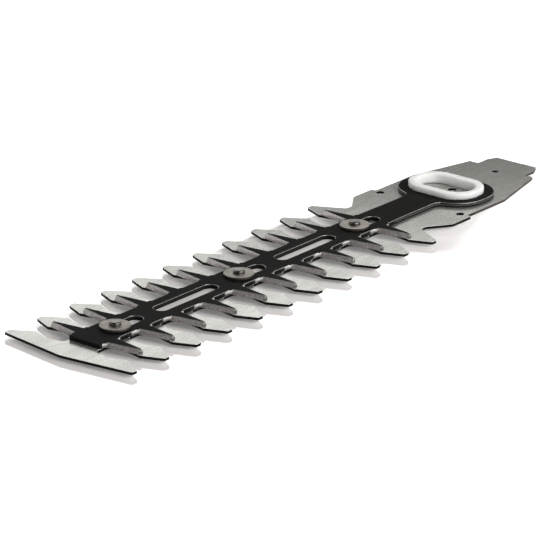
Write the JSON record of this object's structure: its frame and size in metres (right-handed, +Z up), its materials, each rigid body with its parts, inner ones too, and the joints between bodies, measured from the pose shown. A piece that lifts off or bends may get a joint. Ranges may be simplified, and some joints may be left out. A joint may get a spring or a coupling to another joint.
{
  "type": "hedge trimmer blade",
  "caption": "Flat comb plate with a toothed black shear blade sliding along it under riveted guide washers, driven to and fro through an oval lined slot to cut twigs",
  "frame": {"origin": "midway between the two fixing holes, on the comb plate's underside", "axes": "X from the tail to the nose along the stroke, Y across the teeth, Z up from the plate to the blade"},
  "size_m": [0.2921, 0.066, 0.0056],
  "materials": {
    "plate_steel": "ground and lightly brushed steel sheet",
    "blade_black": "black oxide coated steel with bare ground flanks",
    "liner_white": "moulded white plastic",
    "washer_steel": "dull plated steel",
    "rivet_steel": "formed bare steel",
    "sleeve_steel": "turned bare steel"
  },
  "bodies": {
    "base": {"comb_plate": "plate_steel", "front_guide_rivet": "rivet_steel", "middle_guide_rivet": "rivet_steel", "rear_guide_rivet": "rivet_steel", "front_guide_sleeve": "sleeve_steel", "middle_guide_sleeve": "sleeve_steel", "rear_guide_sleeve": "sleeve_steel", "front_guide_washer": "washer_steel", "middle_guide_washer": "washer_steel", "rear_guide_washer": "washer_steel"},
    "cutter": {"shear_blade": "blade_black", "slot_liner": "liner_white"}
  },
  "joints": [
    {"name": "blade_slide", "type": "slide", "parent": "base", "child": "cutter", "axis": [1, 0, 0], "range_m": [0, 0.011]}
  ]
}
